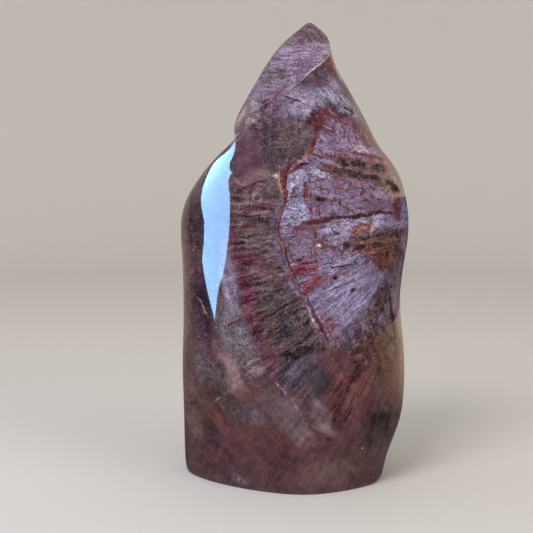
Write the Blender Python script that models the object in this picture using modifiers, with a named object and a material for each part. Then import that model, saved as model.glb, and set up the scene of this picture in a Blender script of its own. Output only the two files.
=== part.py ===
"""A flame carved from petrified wood: one polished block, twisted as it narrows to its tip.

Metres, +Z up. The origin lies under the middle of the carving, on the surface that it stands on.
The front faces -Y and the left side is -X.
"""
from math import cos, pi, radians, sin

import bmesh
import bpy
import numpy as np
from mathutils import Matrix, Vector

# Driving dimensions
HEIGHT = 0.170
WIDTH = 0.0866
DEPTH = 0.0662

FOOT_EDGE = 0.0008
PIT_DEPTH = 0.0016

# How fine the cage is, how often it is subdivided, and how far it lies outside the stone
COLUMNS = 32
LEVELS = 30
SMOOTHINGS = 1
TIP_CLOSENESS = 1.35
RIDGE_CLOSENESS = 0.35
CAGE_EXCESS = 1.012

# Steps of azimuth that measure a whole outline, and the step along it that finds its slope
FINE_STEPS = 720
SLOPE_STEP = 0.0005

# Reach of the outline, by share of the height: left and right as shares of half the width,
# front and back as shares of half the depth.
LEFT, RIGHT, FRONT, BACK = 1, 2, 3, 4
REACH = (
    # height, left, right, front, back
    (0.000, -0.990, 0.775, -0.995, 0.900),
    (0.040, -0.993, 0.800, -0.998, 0.930),
    (0.085, -0.993, 0.872, -1.002, 0.960),
    (0.150, -0.995, 0.950, -1.004, 0.985),
    (0.240, -0.997, 0.962, -1.000, 0.998),
    (0.320, -0.985, 0.940, -0.990, 0.998),
    (0.390, -0.980, 0.912, -0.970, 0.985),
    (0.470, -0.983, 0.945, -0.950, 0.960),
    (0.550, -1.000, 1.000, -0.915, 0.925),
    (0.600, -0.975, 0.990, -0.880, 0.890),
    (0.650, -0.860, 0.945, -0.835, 0.840),
    (0.690, -0.745, 0.865, -0.790, 0.780),
    (0.734, -0.562, 0.710, -0.730, 0.710),
    (0.780, -0.537, 0.620, -0.640, 0.620),
    (0.830, -0.443, 0.512, -0.540, 0.520),
    (0.880, -0.330, 0.408, -0.420, 0.410),
    (0.930, -0.205, 0.315, -0.290, 0.290),
    (0.965, -0.075, 0.290, -0.195, 0.200),
    (0.985, 0.010, 0.245, -0.130, 0.130),
    (1.000, 0.085, 0.180, -0.050, 0.050),
)

# How round each quarter of the outline is: 1 runs straight between two sides, 2 is an ellipse.
FRONT_LEFT, FRONT_RIGHT, BACK_RIGHT, BACK_LEFT = 1, 2, 3, 4
ROUNDNESS = (
    # height, front left, front right, back right, back left
    (0.00, 1.35, 1.95, 1.70, 1.60),
    (0.25, 1.75, 1.95, 1.85, 1.80),
    (0.60, 1.90, 2.05, 1.95, 1.90),
    (1.00, 1.90, 1.90, 1.90, 1.90),
)

# Where the front-most and back-most points lie, to the right of the middle of the outline
FRONT_LEAN, BACK_LEAN = 1, 2
LEAN = (
    # height, front, back
    (0.00, 0.14, 0.05),
    (0.50, 0.05, -0.05),
    (1.00, 0.00, 0.00),
)

# The two ridges wind down the stone. Azimuth in degrees: 0 is the right side, -90 the front.
# The hollow beside a ridge is a share of the radius, and the edge is how sharply it is cut.
AZIMUTH, HOLLOW, EDGE = 1, 2, 3
RIDGES = (
    (
        # height, azimuth, hollow, edge
        (0.00, -238, 0.04, 0.0),
        (0.25, -216, 0.05, 0.0),
        (0.45, -202, 0.07, 0.0),
        (0.56, -192, 0.10, 0.3),
        (0.64, -183, 0.13, 0.6),
        (0.70, -173, 0.15, 0.7),
        (0.74, -147, 0.18, 1.0),
        (0.77, -131, 0.19, 1.0),
        (0.80, -125, 0.19, 1.0),
        (0.84, -111, 0.18, 1.0),
        (0.87, -91, 0.17, 1.0),
        (0.90, -65, 0.15, 0.9),
        (0.93, -34, 0.11, 0.5),
        (0.96, -10, 0.08, 0.3),
        (1.00, 12, 0.05, 0.0),
    ),
    (
        # height, azimuth, hollow, edge
        (0.00, -34, 0.07, 0.2),
        (0.15, -28, 0.06, 0.1),
        (0.35, -18, 0.05, 0.0),
        (0.50, -3, 0.06, 0.1),
        (0.62, 12, 0.08, 0.4),
        (0.72, 30, 0.10, 0.6),
        (0.80, 52, 0.12, 0.7),
        (0.87, 84, 0.12, 0.6),
        (0.93, 134, 0.10, 0.5),
        (1.00, 192, 0.05, 0.0),
    ),
)
HOLLOW_WIDTH = radians(112)
HOLLOW_PEAK = 4 / 27

# The open cavities that the polish has cut into, on the front face, in metres and degrees
PITS = (
    # across, height, length, width, tilt
    (0.0164, 0.1182, 0.0042, 0.0030, -24),
    (0.0222, 0.1172, 0.0064, 0.0030, -12),
    (0.0298, 0.1158, 0.0064, 0.0026, -14),
    (0.0203, 0.1137, 0.0096, 0.0026, -15),
    (0.0282, 0.1121, 0.0044, 0.0026, -34),
    (0.0355, 0.1092, 0.0062, 0.0028, -32),
    (0.0175, 0.0886, 0.0028, 0.0024, 0),
    (0.0226, 0.0875, 0.0048, 0.0019, 12),
    (0.0286, 0.0877, 0.0064, 0.0020, 2),
    (0.0374, 0.0910, 0.0052, 0.0022, 5),
    (0.0384, 0.0849, 0.0056, 0.0024, -60),
)


def flowing(places, values, at):
    """Values at the asked places, on a monotone cubic through the named ones."""
    places = np.asarray(places, float)
    values = np.asarray(values, float)
    at = np.clip(np.asarray(at, float), places[0], places[-1])
    gaps = np.diff(places)
    steps = np.diff(values) / gaps
    slopes = np.zeros(len(values))
    slopes[0], slopes[-1] = steps[0], steps[-1]
    for i in range(1, len(values) - 1):
        if steps[i - 1] * steps[i] > 0:
            before = 2 * gaps[i] + gaps[i - 1]
            after = gaps[i] + 2 * gaps[i - 1]
            slopes[i] = (before + after) / (before / steps[i - 1] + after / steps[i])
    i = np.clip(np.searchsorted(places, at, side="right") - 1, 0, len(gaps) - 1)
    t = (at - places[i]) / gaps[i]
    rise = values[i + 1] - values[i]
    bend = gaps[i] * (slopes[i] * t * (1 - t) ** 2 - slopes[i + 1] * t ** 2 * (1 - t))
    return values[i] + rise * t ** 2 * (3 - 2 * t) + bend


def read(table, share, column):
    """One column of a table above, at a share of the height."""
    rows = np.array(table)
    return float(flowing(rows[:, 0], rows[:, column], share))


def hollow(azimuth, ridge, depth):
    """How far the stone is hollowed on the side of the ridge that turns back from it."""
    away = np.mod(ridge - azimuth, 2 * pi) / HOLLOW_WIDTH
    return depth * np.where(away < 1, away * (1 - away) ** 2, 0) / HOLLOW_PEAK


def ridge_azimuth(ridge, share):
    return radians(read(ridge, share, AZIMUTH))


def raw_outline(share, azimuth):
    """An outline of about unit size round the axis, before it is fitted to its reach."""
    rightwards, backwards = np.cos(azimuth), np.sin(azimuth)
    front = np.where(rightwards < 0, FRONT_LEFT, FRONT_RIGHT)
    back = np.where(rightwards < 0, BACK_LEFT, BACK_RIGHT)
    quarter = np.where(backwards < 0, front, back)
    power = np.choose(quarter - 1, [read(ROUNDNESS, share, k) for k in range(1, 5)])
    radius = (np.abs(rightwards) ** power + np.abs(backwards) ** power) ** (-1 / power)
    for ridge in RIDGES:
        depth = read(ridge, share, HOLLOW)
        radius = radius - hollow(azimuth, ridge_azimuth(ridge, share), depth)
    lean = np.where(backwards < 0, read(LEAN, share, FRONT_LEAN), read(LEAN, share, BACK_LEAN))
    y = radius * backwards
    return radius * rightwards + lean * y ** 2, y


def fitted(values, whole, low, high):
    """Values of an outline, moved and stretched so that the whole outline spans low to high."""
    return low + (values - whole.min()) * (high - low) / (whole.max() - whole.min())


def outline(share, azimuth):
    """Points of the stone's outline at a share of its height, in metres."""
    x, y = raw_outline(share, azimuth)
    whole_x, whole_y = raw_outline(share, np.linspace(0, 2 * pi, FINE_STEPS + 1))
    half_width = CAGE_EXCESS * WIDTH / 2
    half_depth = CAGE_EXCESS * DEPTH / 2
    left, right = read(REACH, share, LEFT), read(REACH, share, RIGHT)
    front, back = read(REACH, share, FRONT), read(REACH, share, BACK)
    x = fitted(x, whole_x, left * half_width, right * half_width)
    y = fitted(y, whole_y, front * half_depth, back * half_depth)
    return x, y


def column_azimuths(share):
    """Azimuths of the cage's columns: the first is on one ridge, the middle one on the other."""
    first, second = (ridge_azimuth(ridge, share) for ridge in RIDGES)
    part = np.linspace(0, 1, COLUMNS // 2, endpoint=False)
    part = part - RIDGE_CLOSENESS * np.sin(2 * pi * part) / (2 * pi)
    there = first + (second - first) * part
    back = second + (first + 2 * pi - second) * part
    return np.concatenate((there, back))


def level_shares():
    """Shares of the height at which the cage has a ring, closer together towards the tip."""
    rising = 1 - (1 - np.linspace(0, 1, LEVELS)) ** TIP_CLOSENESS
    return np.insert(rising, 1, FOOT_EDGE / HEIGHT)


def slice_cylinder():
    """A unit cylinder with a ring of vertices at every level of the cage."""
    bm = bmesh.new()
    bmesh.ops.create_cone(bm, cap_ends=True, segments=COLUMNS, radius1=1, radius2=1, depth=1)
    bmesh.ops.translate(bm, verts=bm.verts, vec=(0, 0, 0.5))
    for share in level_shares()[1:-1]:
        whole = bm.verts[:] + bm.edges[:] + bm.faces[:]
        bmesh.ops.bisect_plane(bm, geom=whole, plane_co=(0, 0, share), plane_no=(0, 0, 1))
    return bm


def column_of(vertex):
    """The column that a vertex of the sliced cylinder stands on."""
    return round(np.arctan2(vertex.co.y, vertex.co.x) / (2 * pi) * COLUMNS) % COLUMNS


def crease_ridges(bm):
    """Creases up the two columns that follow the ridges, and round the foot."""
    crease = bm.edges.layers.float.new("crease_edge")
    for edge in bm.edges:
        low, high = sorted(edge.verts, key=lambda vertex: vertex.co.z)
        if high.co.z == 0:
            edge[crease] = 1
        elif column_of(low) == column_of(high):
            for i, ridge in enumerate(RIDGES):
                if column_of(low) == i * COLUMNS // 2:
                    edge[crease] = read(ridge, high.co.z, EDGE)


def shape_levels(bm):
    """Moves every vertex of the sliced cylinder onto the outline of its level."""
    levels = {}
    for vertex in bm.verts:
        levels.setdefault(vertex.co.z, []).append((column_of(vertex), vertex))
    for share, ring in levels.items():
        x, y = outline(share, column_azimuths(share))
        inset = 1 - FOOT_EDGE / (WIDTH / 2) if share == 0 else 1
        for column, vertex in ring:
            vertex.co = (x[column] * inset, y[column] * inset, share * HEIGHT)


def build_stone(collection):
    """The carving itself, as a subdivided cage."""
    bm = slice_cylinder()
    crease_ridges(bm)
    shape_levels(bm)
    mesh = bpy.data.meshes.new("flame_stone")
    bm.to_mesh(mesh)
    bm.free()
    mesh.shade_smooth()
    stone = bpy.data.objects.new("flame_stone", mesh)
    collection.objects.link(stone)
    smooth = stone.modifiers.new("polish", "SUBSURF")
    smooth.levels = SMOOTHINGS
    smooth.render_levels = SMOOTHINGS
    return stone


def front_surface(x, z):
    """How far back the front surface lies at a place across and up the stone."""
    ring_x, ring_y = outline(z / HEIGHT, np.linspace(-pi, 0, FINE_STEPS))
    return float(np.interp(x, ring_x, ring_y))


def front_slopes(x, z):
    """How the front surface falls back to the right and upwards."""
    rightwards = front_surface(x + SLOPE_STEP, z) - front_surface(x - SLOPE_STEP, z)
    upwards = front_surface(x, z + SLOPE_STEP) - front_surface(x, z - SLOPE_STEP)
    return rightwards / (2 * SLOPE_STEP), upwards / (2 * SLOPE_STEP)


def pit_placement(x, z, length, width, tilt):
    """The matrix that lays a unit ball into the surface as one pit."""
    slope_x, slope_z = front_slopes(x, z)
    across, up = cos(radians(tilt)), sin(radians(tilt))
    outwards = Vector((slope_x, -1, slope_z)).normalized()
    along = Vector((across, slope_x * across + slope_z * up, up)).normalized()
    sideways = outwards.cross(along)
    axes = Matrix((along * length / 2, sideways * width / 2, outwards * PIT_DEPTH)).transposed()
    return Matrix.Translation((x, front_surface(x, z), z)) @ axes.to_4x4()


def cut_pits(stone, collection):
    """Cuts the open cavities out of the stone with one flattened ball each."""
    bm = bmesh.new()
    for pit in PITS:
        placement = pit_placement(*pit)
        bmesh.ops.create_uvsphere(bm, u_segments=10, v_segments=6, radius=1, matrix=placement)
    mesh = bpy.data.meshes.new("pits")
    bm.to_mesh(mesh)
    bm.free()
    cutter = bpy.data.objects.new("pits", mesh)
    cutter.display_type = "WIRE"
    cutter.hide_render = True
    collection.objects.link(cutter)
    cut = stone.modifiers.new("pits", "BOOLEAN")
    cut.operation = "DIFFERENCE"
    cut.solver = "EXACT"
    cut.object = cutter


def polished_stone():
    """Dark maroon petrified wood with a glassy polish."""
    material = bpy.data.materials.new("petrified_wood")
    material.use_nodes = True
    shader = material.node_tree.nodes["Principled BSDF"]
    shader.inputs["Base Color"].default_value = (0.105, 0.055, 0.062, 1)
    shader.inputs["Roughness"].default_value = 0.18
    shader.inputs["Metallic"].default_value = 0
    return material


def new_collection(name):
    collection = bpy.data.collections.new(name)
    bpy.context.scene.collection.children.link(collection)
    return collection


def main():
    for old in list(bpy.data.objects):
        bpy.data.objects.remove(old)
    stone = build_stone(new_collection("petrified_wood_flame"))
    cut_pits(stone, new_collection("cutters"))
    stone.data.materials.append(polished_stone())


main()
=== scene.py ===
"""A flame carved from petrified wood: its polished surface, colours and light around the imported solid."""

from math import cos, pi, radians, sin

import bmesh
import bpy
import numpy as np
from mathutils import Matrix, Vector, noise


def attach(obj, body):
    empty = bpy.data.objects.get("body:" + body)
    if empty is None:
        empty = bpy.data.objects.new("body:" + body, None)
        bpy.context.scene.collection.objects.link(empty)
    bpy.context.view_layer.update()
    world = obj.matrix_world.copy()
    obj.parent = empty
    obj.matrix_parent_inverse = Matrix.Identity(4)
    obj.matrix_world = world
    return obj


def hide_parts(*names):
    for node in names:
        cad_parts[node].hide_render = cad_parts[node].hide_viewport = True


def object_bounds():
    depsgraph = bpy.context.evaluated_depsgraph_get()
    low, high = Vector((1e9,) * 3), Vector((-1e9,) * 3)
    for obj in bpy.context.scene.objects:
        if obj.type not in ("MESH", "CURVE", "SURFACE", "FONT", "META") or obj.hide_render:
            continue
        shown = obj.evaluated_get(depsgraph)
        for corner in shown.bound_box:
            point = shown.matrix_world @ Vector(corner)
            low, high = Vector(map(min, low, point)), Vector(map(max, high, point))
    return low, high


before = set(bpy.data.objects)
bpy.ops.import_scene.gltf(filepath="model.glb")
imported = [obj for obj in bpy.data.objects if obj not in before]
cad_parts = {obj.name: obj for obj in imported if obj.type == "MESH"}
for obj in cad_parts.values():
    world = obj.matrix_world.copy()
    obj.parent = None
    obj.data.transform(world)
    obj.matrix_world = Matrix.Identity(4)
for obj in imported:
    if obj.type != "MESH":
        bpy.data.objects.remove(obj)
cad_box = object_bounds()

# Driving dimensions in metres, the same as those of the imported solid
HEIGHT = 0.170
WIDTH = 0.0866
DEPTH = 0.0662
FOOT_EDGE = 0.0008

# How fine the cage is, how often it is smoothed, and how far it lies outside the stone
COLUMNS = 32
LEVELS = 30
POLISHINGS = 3
TIP_CLOSENESS = 1.35
RIDGE_CLOSENESS = 0.35
CAGE_EXCESS = 1.012
FINE_STEPS = 720

# Reach of the outline, by share of the height: left and right as shares of half the width,
# front and back as shares of half the depth.
LEFT, RIGHT, FRONT, BACK = 1, 2, 3, 4
REACH = (
    # height, left, right, front, back
    (0.000, -0.990, 0.775, -0.995, 0.900),
    (0.040, -0.993, 0.800, -0.998, 0.930),
    (0.085, -0.993, 0.872, -1.002, 0.960),
    (0.150, -0.995, 0.950, -1.004, 0.985),
    (0.240, -0.997, 0.962, -1.000, 0.998),
    (0.320, -0.985, 0.940, -0.990, 0.998),
    (0.390, -0.980, 0.912, -0.970, 0.985),
    (0.470, -0.983, 0.945, -0.950, 0.960),
    (0.550, -1.000, 1.000, -0.915, 0.925),
    (0.600, -0.975, 0.990, -0.880, 0.890),
    (0.650, -0.860, 0.945, -0.835, 0.840),
    (0.690, -0.745, 0.865, -0.790, 0.780),
    (0.734, -0.562, 0.710, -0.730, 0.710),
    (0.780, -0.537, 0.620, -0.640, 0.620),
    (0.830, -0.443, 0.512, -0.540, 0.520),
    (0.880, -0.330, 0.408, -0.420, 0.410),
    (0.930, -0.205, 0.315, -0.290, 0.290),
    (0.965, -0.075, 0.290, -0.195, 0.200),
    (0.985, 0.035, 0.210, -0.110, 0.110),
    (1.000, 0.100, 0.135, -0.020, 0.020),
)

# How round each quarter of the outline is: 1 runs straight between two sides, 2 is an ellipse.
FRONT_LEFT, FRONT_RIGHT, BACK_RIGHT, BACK_LEFT = 1, 2, 3, 4
ROUNDNESS = (
    # height, front left, front right, back right, back left
    (0.00, 1.35, 1.95, 1.70, 1.60),
    (0.25, 1.75, 1.95, 1.85, 1.80),
    (0.60, 1.90, 2.05, 1.95, 1.90),
    (1.00, 1.90, 1.90, 1.90, 1.90),
)

# Where the front-most and back-most points lie, to the right of the middle of the outline
FRONT_LEAN, BACK_LEAN = 1, 2
LEAN = (
    # height, front, back
    (0.00, 0.14, 0.05),
    (0.50, 0.05, -0.05),
    (1.00, 0.00, 0.00),
)

# The two ridges wind down the stone. Azimuth in degrees: 0 is the right side, -90 the front.
# The hollow beside a ridge is a share of the radius, and the edge is how sharply it is cut.
AZIMUTH, HOLLOW, EDGE = 1, 2, 3
RIDGES = (
    (
        # height, azimuth, hollow, edge
        (0.00, -238, 0.04, 0.0),
        (0.25, -216, 0.05, 0.0),
        (0.45, -202, 0.07, 0.0),
        (0.56, -192, 0.10, 0.3),
        (0.64, -183, 0.13, 0.6),
        (0.70, -173, 0.15, 0.7),
        (0.74, -147, 0.18, 1.0),
        (0.77, -131, 0.19, 1.0),
        (0.80, -125, 0.19, 1.0),
        (0.84, -111, 0.18, 1.0),
        (0.87, -91, 0.17, 1.0),
        (0.90, -65, 0.15, 0.9),
        (0.93, -34, 0.11, 0.5),
        (0.96, -10, 0.08, 0.3),
        (1.00, 12, 0.05, 0.0),
    ),
    (
        # height, azimuth, hollow, edge
        (0.00, -34, 0.07, 0.2),
        (0.15, -28, 0.06, 0.1),
        (0.35, -18, 0.05, 0.0),
        (0.50, -3, 0.06, 0.1),
        (0.62, 12, 0.08, 0.4),
        (0.72, 30, 0.10, 0.6),
        (0.80, 52, 0.12, 0.7),
        (0.87, 84, 0.12, 0.6),
        (0.93, 134, 0.10, 0.5),
        (1.00, 192, 0.05, 0.0),
    ),
)
HOLLOW_WIDTH = radians(112)
HOLLOW_PEAK = 4 / 27


def flowing(places, values, at):
    """Values at the asked places, on a monotone cubic through the named ones."""
    places = np.asarray(places, float)
    values = np.asarray(values, float)
    at = np.clip(np.asarray(at, float), places[0], places[-1])
    gaps = np.diff(places)
    steps = np.diff(values) / gaps
    slopes = np.zeros(len(values))
    slopes[0], slopes[-1] = steps[0], steps[-1]
    for i in range(1, len(values) - 1):
        if steps[i - 1] * steps[i] > 0:
            before = 2 * gaps[i] + gaps[i - 1]
            after = gaps[i] + 2 * gaps[i - 1]
            slopes[i] = (before + after) / (before / steps[i - 1] + after / steps[i])
    i = np.clip(np.searchsorted(places, at, side="right") - 1, 0, len(gaps) - 1)
    t = (at - places[i]) / gaps[i]
    rise = values[i + 1] - values[i]
    bend = gaps[i] * (slopes[i] * t * (1 - t) ** 2 - slopes[i + 1] * t ** 2 * (1 - t))
    return values[i] + rise * t ** 2 * (3 - 2 * t) + bend


def read(table, share, column):
    """One column of a table above, at a share of the height."""
    rows = np.array(table)
    return float(flowing(rows[:, 0], rows[:, column], share))


def hollow(azimuth, ridge, depth):
    """How far the stone is hollowed on the side of the ridge that turns back from it."""
    away = np.mod(ridge - azimuth, 2 * pi) / HOLLOW_WIDTH
    return depth * np.where(away < 1, away * (1 - away) ** 2, 0) / HOLLOW_PEAK


def ridge_azimuth(ridge, share):
    return radians(read(ridge, share, AZIMUTH))


def raw_outline(share, azimuth):
    """An outline of about unit size round the axis, before it is fitted to its reach."""
    rightwards, backwards = np.cos(azimuth), np.sin(azimuth)
    front = np.where(rightwards < 0, FRONT_LEFT, FRONT_RIGHT)
    back = np.where(rightwards < 0, BACK_LEFT, BACK_RIGHT)
    quarter = np.where(backwards < 0, front, back)
    power = np.choose(quarter - 1, [read(ROUNDNESS, share, k) for k in range(1, 5)])
    radius = (np.abs(rightwards) ** power + np.abs(backwards) ** power) ** (-1 / power)
    for ridge in RIDGES:
        depth = read(ridge, share, HOLLOW)
        radius = radius - hollow(azimuth, ridge_azimuth(ridge, share), depth)
    lean = np.where(backwards < 0, read(LEAN, share, FRONT_LEAN), read(LEAN, share, BACK_LEAN))
    y = radius * backwards
    return radius * rightwards + lean * y ** 2, y


def fitted(values, whole, low, high):
    """Values of an outline, moved and stretched so that the whole outline spans low to high."""
    return low + (values - whole.min()) * (high - low) / (whole.max() - whole.min())


def outline(share, azimuth):
    """Points of the stone's outline at a share of its height, in metres."""
    x, y = raw_outline(share, azimuth)
    whole_x, whole_y = raw_outline(share, np.linspace(0, 2 * pi, FINE_STEPS + 1))
    half_width = CAGE_EXCESS * WIDTH / 2
    half_depth = CAGE_EXCESS * DEPTH / 2
    left, right = read(REACH, share, LEFT), read(REACH, share, RIGHT)
    front, back = read(REACH, share, FRONT), read(REACH, share, BACK)
    x = fitted(x, whole_x, left * half_width, right * half_width)
    y = fitted(y, whole_y, front * half_depth, back * half_depth)
    return x, y


def column_azimuths(share):
    """Azimuths of the cage's columns: the first is on one ridge, the middle one on the other."""
    first, second = (ridge_azimuth(ridge, share) for ridge in RIDGES)
    part = np.linspace(0, 1, COLUMNS // 2, endpoint=False)
    part = part - RIDGE_CLOSENESS * np.sin(2 * pi * part) / (2 * pi)
    there = first + (second - first) * part
    back = second + (first + 2 * pi - second) * part
    return np.concatenate((there, back))


def level_shares():
    """Shares of the height at which the cage has a ring, closer together towards the tip."""
    rising = 1 - (1 - np.linspace(0, 1, LEVELS)) ** TIP_CLOSENESS
    return np.insert(rising, 1, FOOT_EDGE / HEIGHT)


def select_only(piece):
    bpy.ops.object.select_all(action="DESELECT")
    piece.select_set(True)
    bpy.context.view_layer.objects.active = piece


def sawn_block():
    """A cylinder of unit size, sliced at every level of the cage."""
    bpy.ops.object.select_all(action="DESELECT")
    bpy.ops.mesh.primitive_cylinder_add(vertices=COLUMNS, radius=1, depth=1, location=(0, 0, 0.5))
    block = bpy.context.object
    bpy.ops.object.transform_apply(location=True)
    bpy.ops.object.mode_set(mode="EDIT")
    for share in level_shares()[1:-1]:
        bpy.ops.mesh.select_all(action="SELECT")
        bpy.ops.mesh.bisect(plane_co=(0, 0, share), plane_no=(0, 0, 1))
    bpy.ops.object.mode_set(mode="OBJECT")
    return block


def column_of(place):
    """The column that a vertex of the sliced block stands on."""
    return round(np.arctan2(place.y, place.x) / (2 * pi) * COLUMNS) % COLUMNS


def crease_ridges(block):
    """Creases up the two columns that follow the ridges, and round the foot."""
    mesh = block.data
    creases = mesh.attributes.new("crease_edge", "FLOAT", "EDGE")
    for edge in mesh.edges:
        low, high = sorted((mesh.vertices[v].co for v in edge.vertices), key=lambda co: co.z)
        if high.z == 0:
            creases.data[edge.index].value = 1
        elif column_of(low) == column_of(high):
            for i, ridge in enumerate(RIDGES):
                if column_of(low) == i * COLUMNS // 2:
                    creases.data[edge.index].value = read(ridge, high.z, EDGE)


def carve_levels(block):
    """Moves every vertex of the sliced block onto the outline of its level."""
    levels = {}
    for vertex in block.data.vertices:
        levels.setdefault(vertex.co.z, []).append((column_of(vertex.co), vertex))
    for share, ring in levels.items():
        x, y = outline(share, column_azimuths(share))
        inset = 1 - FOOT_EDGE / (WIDTH / 2) if share == 0 else 1
        for column, vertex in ring:
            vertex.co = (x[column] * inset, y[column] * inset, share * HEIGHT)


def places_of(mesh):
    places = np.empty(len(mesh.vertices) * 3, np.float32)
    mesh.vertices.foreach_get("co", places)
    return places.reshape(-1, 3).astype(float)


def put_places(mesh, places):
    mesh.vertices.foreach_set("co", places.astype(np.float32).ravel())
    mesh.update()


def fit_to_solid(mesh):
    """Stretches the smoothed stone onto the box of the solid that it stands for."""
    low, high = (np.array(corner) for corner in cad_box)
    places = places_of(mesh)
    reach = places.max(0) - places.min(0)
    put_places(mesh, low + (places - places.min(0)) / reach * (high - low))


# The open cavities of the front: place across and up, length and width in metres, tilt in degrees
PITS = (
    (0.0164, 0.1182, 0.0046, 0.0034, -24),
    (0.0222, 0.1172, 0.0070, 0.0032, -12),
    (0.0300, 0.1158, 0.0056, 0.0030, -14),
    (0.0192, 0.1141, 0.0156, 0.0026, -13),
    (0.0284, 0.1121, 0.0054, 0.0026, -32),
    (0.0355, 0.1092, 0.0072, 0.0026, -36),
    (0.0175, 0.0886, 0.0026, 0.0023, 0),
    (0.0226, 0.0879, 0.0046, 0.0018, 8),
    (0.0286, 0.0885, 0.0064, 0.0019, 2),
    (0.0300, 0.0920, 0.0030, 0.0016, 0),
    (0.0247, 0.0911, 0.0040, 0.0013, 6),
    (0.0374, 0.0918, 0.0070, 0.0022, 5),
    (0.0374, 0.0862, 0.0062, 0.0027, -58),
    (0.0079, 0.1051, 0.0040, 0.0014, -4),
    (0.0008, 0.0840, 0.0030, 0.0013, 20),
    (0.0097, 0.0526, 0.0022, 0.0012, 15),
    (0.0135, 0.0778, 0.0018, 0.0013, 20),
    (0.0200, 0.0730, 0.0020, 0.0010, 30),
    (0.0300, 0.0680, 0.0050, 0.0018, 60),
    (0.0238, 0.0480, 0.0036, 0.0014, -60),
)
PIT_DEPTH = 0.0013
# How far round a pit the mesh is cut finer, in the pit's own radii, and into how many cuts
PIT_REACH = 1.7
PIT_CUTS = 3
# Where a pit's wall starts and how wide it is, in the pit's own radii, and how far noise tears its edge
PIT_EDGE = 1.05
PIT_WALL = 0.45
PIT_TORN = 0.8
FINE_SHARE = 0.6
# The step of a pit's ragged edge and of the crystals on its floor, in metres
PIT_RAGGED = 0.0016
CRYSTAL = 0.0007
# How deep a pit goes on the whole, and how much its crystals rise and fall, as shares of its depth
CRYSTAL_FLOOR = 0.72
CRYSTAL_RISE = 0.55


def pit_distance(places):
    """How far each place is from the nearest pit's middle, in that pit's own radii."""
    nearest = np.full(len(places), PIT_REACH)
    for x, z, length, width, tilt in PITS:
        turn = radians(tilt)
        across, up = places[:, 0] - x, places[:, 2] - z
        along = (across * cos(turn) + up * sin(turn)) / (length / 2)
        beside = (up * cos(turn) - across * sin(turn)) / (width / 2)
        away = np.hypot(along, beside)
        away[places[:, 1] > 0] = PIT_REACH
        nearest = np.minimum(nearest, away)
    return nearest


def noise_at(places, step):
    return np.array([noise.noise(Vector(place) / step) for place in places])


def cut_finer(stone):
    """Cuts the faces round each pit into smaller ones."""
    mesh = stone.data
    select_only(stone)
    bpy.ops.object.mode_set(mode="EDIT")
    bpy.ops.mesh.select_mode(type="FACE")
    bpy.ops.mesh.select_all(action="DESELECT")
    bpy.ops.object.mode_set(mode="OBJECT")
    near = pit_distance(places_of(mesh)) < PIT_REACH
    for face in mesh.polygons:
        face.select = any(near[v] for v in face.vertices)
    bpy.ops.object.mode_set(mode="EDIT")
    bpy.ops.mesh.subdivide(number_cuts=PIT_CUTS, smoothness=1)
    bpy.ops.mesh.select_all(action="DESELECT")
    bpy.ops.object.mode_set(mode="OBJECT")


def sink_pits(mesh):
    """Pushes the cavities in, with crystals left on their floors, and notes how near each place is."""
    places = places_of(mesh)
    away = pit_distance(places)
    near = np.flatnonzero(away < PIT_REACH)
    normals = np.array([mesh.vertices[i].normal for i in near])
    fine = noise_at(places[near], CRYSTAL)
    ragged = noise_at(places[near], PIT_RAGGED) + FINE_SHARE * fine
    away[near] += PIT_TORN * ragged * (PIT_REACH - away[near])
    depth = np.clip((PIT_EDGE - away[near]) / PIT_WALL, 0, 1)
    depth = depth * depth * (3 - 2 * depth)
    crystals = CRYSTAL_FLOOR + CRYSTAL_RISE * fine
    places[near] -= normals * (PIT_DEPTH * depth * crystals)[:, None]
    put_places(mesh, places)
    nearness = mesh.attributes.new("pit", "FLOAT", "POINT")
    nearness.data.foreach_set("value", (1 - away / PIT_REACH).astype(np.float32))


def carved_stone():
    stone = sawn_block()
    stone.name = stone.data.name = "polished_flame"
    crease_ridges(stone)
    carve_levels(stone)
    select_only(stone)
    polish = stone.modifiers.new("polish", "SUBSURF")
    polish.levels = polish.render_levels = POLISHINGS
    bpy.ops.object.modifier_apply(modifier=polish.name)
    fit_to_solid(stone.data)
    cut_finer(stone)
    sink_pits(stone.data)
    bpy.ops.object.shade_smooth()
    return stone


def node(tree, kind, *given, **settings):
    """A shader node of one kind, with its inputs fed in order by what is given, and its own settings."""
    made = tree.nodes.new("ShaderNode" + kind)
    for name, value in settings.items():
        setattr(made, name, value)
    for socket, value in zip([s for s in made.inputs if s.enabled], given):
        if isinstance(value, bpy.types.Node):
            value = value.outputs[0]
        if isinstance(value, bpy.types.NodeSocket):
            tree.links.new(value, socket)
        elif value is not None:
            socket.default_value = value
    return made


# Most noise lies between these two, and a figure's noise is spread further
NOISE_LOW, NOISE_HIGH = 0.30, 0.70
FIGURE_LOW, FIGURE_HIGH = 0.39, 0.61


def beside(given, kind, **settings):
    """A node of one kind in the tree that the given values come from, and its first output in use."""
    tree = next(value.id_data for value in given if isinstance(value, bpy.types.NodeSocket))
    made = node(tree, kind, *given, **settings)
    return next(s for s in made.outputs if s.enabled)


def sums(kind, operation):
    """A function that adds one step of sums beside the values that it is given."""
    return lambda *given: beside(given, kind, operation=operation)


plus, minus, divided, times_plus = (
    sums("Math", operation) for operation in ("ADD", "SUBTRACT", "DIVIDE", "MULTIPLY_ADD")
)
size_of, root, power, larger, turn_of = (
    sums("Math", operation) for operation in ("ABSOLUTE", "SQRT", "POWER", "MAXIMUM", "ARCTAN2")
)
moved, back_from, stretched, scaled, share_along = (
    sums("VectorMath", operation) for operation in ("ADD", "SUBTRACT", "MULTIPLY", "SCALE", "DOT_PRODUCT")
)


def times(*values):
    result = values[0]
    for value in values[1:]:
        result = beside((result, value), "Math", operation="MULTIPLY")
    return result


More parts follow.
